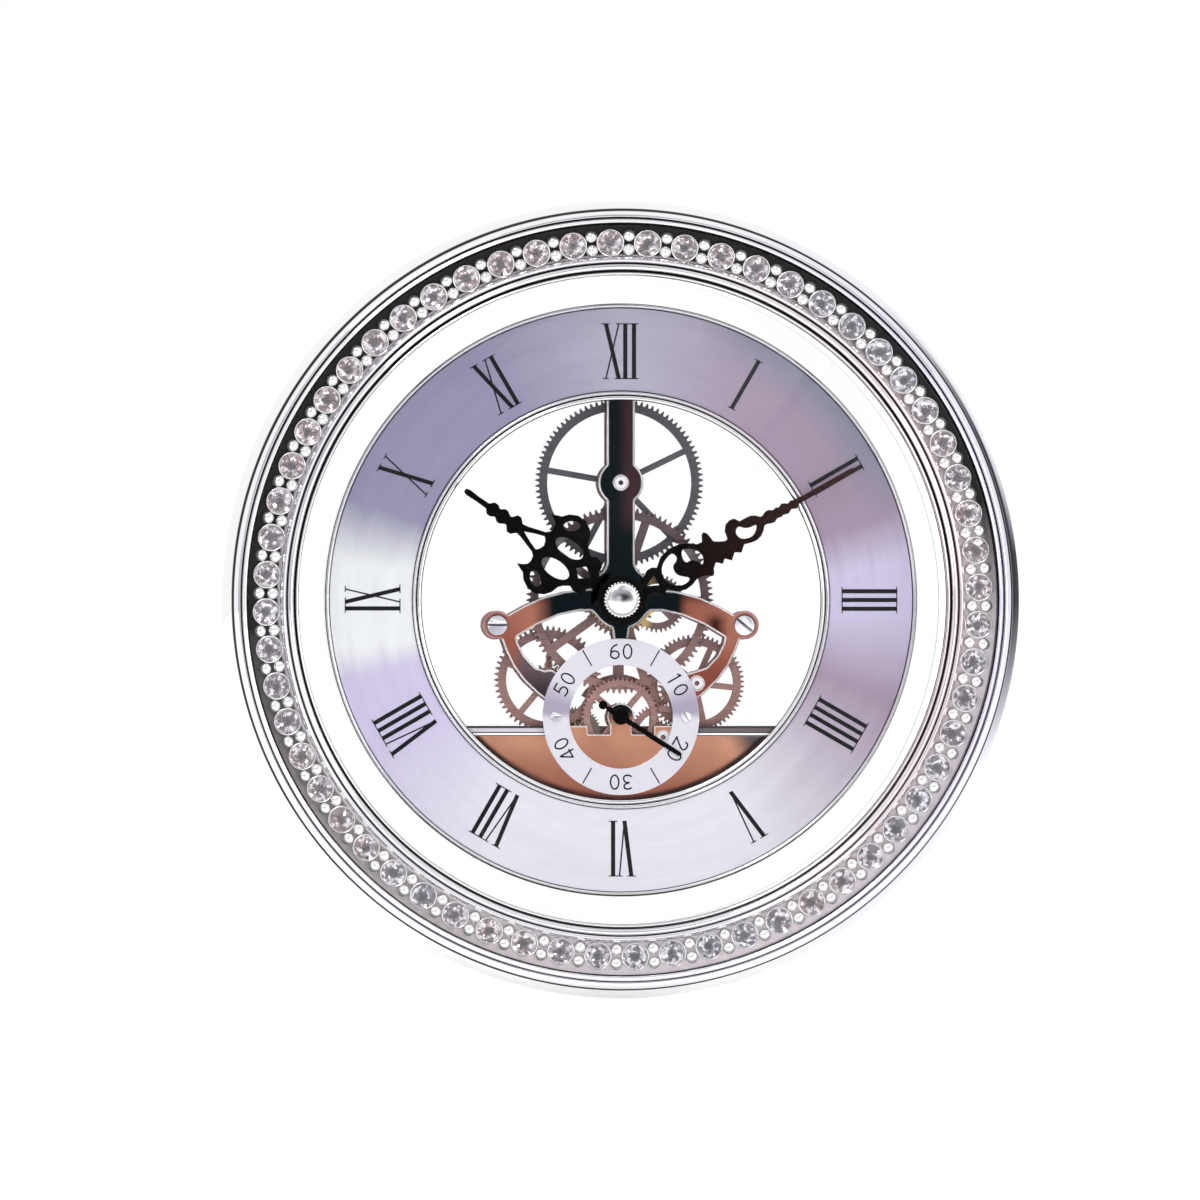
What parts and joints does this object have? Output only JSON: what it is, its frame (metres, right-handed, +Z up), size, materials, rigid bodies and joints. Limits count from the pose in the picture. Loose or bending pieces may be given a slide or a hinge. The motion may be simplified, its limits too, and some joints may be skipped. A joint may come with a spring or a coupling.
{
  "type": "skeleton clock insert",
  "caption": "Round skeleton quartz clock insert with a stone-set chrome bezel, clear front and rear, floating Roman dial ring, open wheel train and separate seconds dial.",
  "frame": {"origin": "on the hand axis, in the plane of the bezel's rear face, which rests on the panel that the clock is let into", "axes": "+X right, +Z up and +Y to the back, as seen from the front; the dial faces -Y"},
  "size_m": [0.15, 0.032, 0.15],
  "materials": {
    "case_aluminium": "satin turned",
    "bezel_chrome": "polished",
    "black_strip": "matt black",
    "setting_silver": "bright plated",
    "crystal": "faceted, foil-backed",
    "clear_glass": "clear polished",
    "seal_rubber": "matt",
    "ring_plastic": "fine matt",
    "screw_steel": "turned",
    "dial_aluminium": "brushed across",
    "seconds_dial_aluminium": "silvered satin",
    "black_print": "printed",
    "rim_chrome": "polished",
    "clear_plastic": "moulded",
    "bridge_chrome": "mirror polished, bevelled",
    "plate_chrome": "mirror polished, bevelled",
    "back_plate_metal": "satin",
    "jewel": "polished bush",
    "dark_wheel": "dark satin",
    "rose_wheel": "rosy satin",
    "arbor_steel": "ground",
    "motion_brass": "satin",
    "motor_plastic": "moulded",
    "magnet": "sintered",
    "stator_iron": "stamped",
    "coil_enamel": "enamelled wire",
    "motor_case_plastic": "moulded",
    "board_green": "lacquered",
    "black_resin": "blob top",
    "can_metal": "drawn can",
    "battery_jacket": "plain film jacket",
    "contact_steel": "nickel plated leaf",
    "black_hand": "gloss black",
    "nut_chrome": "knurled and polished"
  },
  "bodies": {
    "case_and_frame": {"case_ring": "case_aluminium", "front_bezel": "bezel_chrome", "stone_backing_strip": "black_strip", "stone_setting": "setting_silver", "crystal_stones": "crystal", "front_glass": "clear_glass", "glass_seal": "seal_rubber", "rear_window": "clear_glass", "rear_ring": "ring_plastic", "rear_ring_screws": "screw_steel", "dial_ring": "dial_aluminium", "hour_numerals": "black_print", "dial_outer_rim": "rim_chrome", "dial_inner_rim": "rim_chrome", "dial_housing": "clear_plastic", "housing_posts": "screw_steel", "housing_post_screws": "screw_steel", "front_bridge": "bridge_chrome", "bridge_screws": "screw_steel", "pillars": "screw_steel", "bottom_plate": "plate_chrome", "back_plate": "back_plate_metal", "back_plate_screws": "screw_steel", "pivot_jewels": "jewel", "seconds_dial": "seconds_dial_aluminium", "seconds_numerals": "black_print", "seconds_dial_screws": "screw_steel", "motion_stud": "screw_steel", "idler_stud": "screw_steel", "stator": "stator_iron", "coil": "coil_enamel", "coil_core": "stator_iron", "motor_housing": "motor_case_plastic", "circuit_board": "board_green", "chip": "black_resin", "quartz_crystal": "can_metal", "movement_cover": "motor_case_plastic", "battery_contacts": "contact_steel"},
    "seconds_arbor": {"seconds_wheel": "rose_wheel", "seconds_hand": "black_hand"},
    "transfer": {"transfer_wheel": "rose_wheel"},
    "right_third": {"right_wheel": "rose_wheel"},
    "idler": {"idler_wheel": "rose_wheel"},
    "centre": {"centre_wheel": "rose_wheel"},
    "left_third": {"left_wheel": "rose_wheel"},
    "top": {"top_wheel": "dark_wheel"},
    "motor_intermediate": {"intermediate_wheel": "motor_plastic"},
    "rotor": {"rotor_pinion": "motor_plastic", "rotor_magnet": "magnet"},
    "minute_arbor": {"centre_arbor": "arbor_steel", "minute_hand": "black_hand", "hand_washer": "black_hand", "hand_nut": "nut_chrome", "setting_knob": "ring_plastic"},
    "motion": {"motion_wheel": "motion_brass"},
    "hour_pipe": {"hour_wheel": "motion_brass", "hour_hand": "black_hand"},
    "battery_cell": {"battery": "battery_jacket"},
    "battery_lid": {"battery_cover": "ring_plastic"}
  },
  "joints": [
    {"name": "seconds_turn", "type": "hinge", "parent": "case_and_frame", "child": "seconds_arbor", "pos_m": [0, 0, -0.022], "axis": [0, 1, 0], "continuous": true},
    {"name": "transfer_turn", "type": "hinge", "parent": "case_and_frame", "child": "transfer", "pos_m": [0.00797, 0, -0.02586], "axis": [0, 1, 0], "continuous": true},
    {"name": "right_third_turn", "type": "hinge", "parent": "case_and_frame", "child": "right_third", "pos_m": [0.01432, 0, -0.01569], "axis": [0, 1, 0], "continuous": true},
    {"name": "idler_turn", "type": "hinge", "parent": "case_and_frame", "child": "idler", "pos_m": [0.00988, 0, -0.01716], "axis": [0, 1, 0], "continuous": true},
    {"name": "centre_turn", "type": "hinge", "parent": "case_and_frame", "child": "centre", "pos_m": [0, 0, 0], "axis": [0, 1, 0], "continuous": true},
    {"name": "left_third_turn", "type": "hinge", "parent": "case_and_frame", "child": "left_third", "pos_m": [-0.01349, 0, -0.01498], "axis": [0, 1, 0], "continuous": true},
    {"name": "top_turn", "type": "hinge", "parent": "case_and_frame", "child": "top", "pos_m": [0, 0, 0.02208], "axis": [0, 1, 0], "continuous": true},
    {"name": "intermediate_turn", "type": "hinge", "parent": "case_and_frame", "child": "motor_intermediate", "pos_m": [-0.00817, 0, -0.02498], "axis": [0, 1, 0], "continuous": true},
    {"name": "rotor_turn", "type": "hinge", "parent": "case_and_frame", "child": "rotor", "pos_m": [-0.01178, 0, -0.02926], "axis": [0, 1, 0], "continuous": true},
    {"name": "minute_turn", "type": "hinge", "parent": "case_and_frame", "child": "minute_arbor", "pos_m": [0, 0, 0], "axis": [0, 1, 0], "continuous": true},
    {"name": "motion_turn", "type": "hinge", "parent": "case_and_frame", "child": "motion", "pos_m": [0.00697, 0, -0.00061], "axis": [0, 1, 0], "continuous": true},
    {"name": "hour_turn", "type": "hinge", "parent": "case_and_frame", "child": "hour_pipe", "pos_m": [0, 0, 0], "axis": [0, 1, 0], "continuous": true},
    {"name": "battery_out", "type": "slide", "parent": "case_and_frame", "child": "battery_cell", "axis": [0, 1, 0], "range_m": [0, 0.022]},
    {"name": "battery_lid_out", "type": "slide", "parent": "case_and_frame", "child": "battery_lid", "axis": [0, 1, 0], "range_m": [0, 0.044]}
  ],
  "couplings": [
    {"joint": "transfer_turn", "follows": "seconds_turn", "ratio": -0.4},
    {"joint": "right_third_turn", "follows": "seconds_turn", "ratio": 0.13333},
    {"joint": "idler_turn", "follows": "seconds_turn", "ratio": -0.11429},
    {"joint": "centre_turn", "follows": "seconds_turn", "ratio": 0.016667},
    {"joint": "left_third_turn", "follows": "seconds_turn", "ratio": -0.1},
    {"joint": "top_turn", "follows": "seconds_turn", "ratio": -0.007037},
    {"joint": "intermediate_turn", "follows": "seconds_turn", "ratio": -5},
    {"joint": "rotor_turn", "follows": "seconds_turn", "ratio": 30},
    {"joint": "motion_turn", "follows": "minute_turn", "ratio": -0.33333},
    {"joint": "hour_turn", "follows": "minute_turn", "ratio": 0.083333},
    {"joint": "battery_lid_out", "follows": "battery_out", "ratio": 2}
  ]
}
